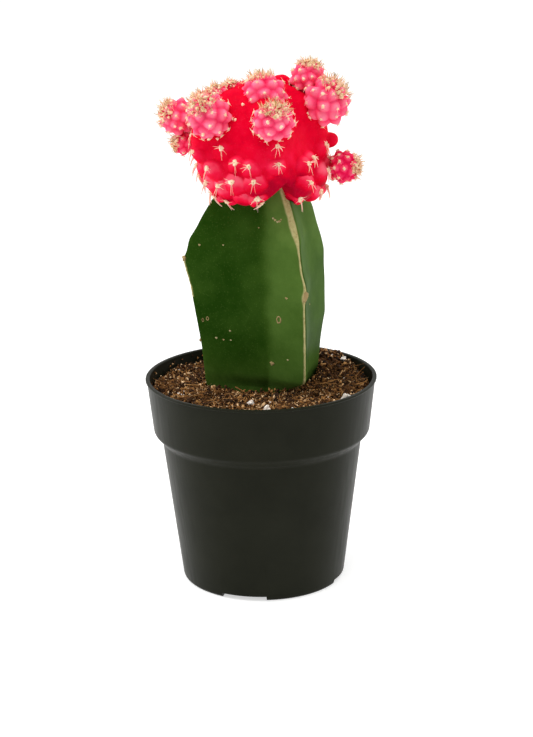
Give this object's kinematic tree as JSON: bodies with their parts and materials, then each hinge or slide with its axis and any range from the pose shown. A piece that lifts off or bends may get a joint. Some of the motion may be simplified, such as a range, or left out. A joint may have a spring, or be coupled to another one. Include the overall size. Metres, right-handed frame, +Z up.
{
  "type": "potted moon cactus",
  "caption": "Grafted moon cactus: a red ribbed globe with pink offsets on a three-ribbed green stem, growing in a small round black plastic nursery pot filled with peat soil.",
  "frame": {"origin": "middle of the pot's foot, on the surface it stands on", "axes": "+Z up along the pot's axis; -Y toward the front, the side from which the stem's front rib is right of the middle; +X to the right"},
  "size_m": [0.064, 0.064, 0.145],
  "materials": {
    "pot_plastic": "satin moulded polypropylene, near black with a faint olive cast",
    "potting_soil": "rough brown peat and coir crumb",
    "rootstock_skin": "waxy dark green skin with cream corky rib margins",
    "scion_skin": "smooth crimson skin without chlorophyll",
    "offset_skin": "pink knobbly skin with cream areoles",
    "perlite": "dull off-white expanded grains"
  },
  "bodies": {
    "root": {"pot": "pot_plastic", "soil": "potting_soil", "rootstock": "rootstock_skin", "scion": "scion_skin", "offset_front": "offset_skin", "offset_left_front": "offset_skin", "offset_left": "offset_skin", "offset_left_top": "offset_skin", "offset_left_low": "offset_skin", "offset_crown": "offset_skin", "offset_crown_left": "offset_skin", "offset_crown_right": "offset_skin", "offset_right": "offset_skin", "offset_right_low": "offset_skin", "offset_back": "offset_skin", "offset_back_left": "offset_skin", "offset_back_right": "offset_skin", "perlite_right": "perlite", "perlite_front": "perlite", "perlite_front_left": "perlite", "perlite_front_right": "perlite", "perlite_left": "perlite", "perlite_left_front": "perlite", "perlite_back_right": "perlite", "perlite_back": "perlite"}
  },
  "joints": []
}
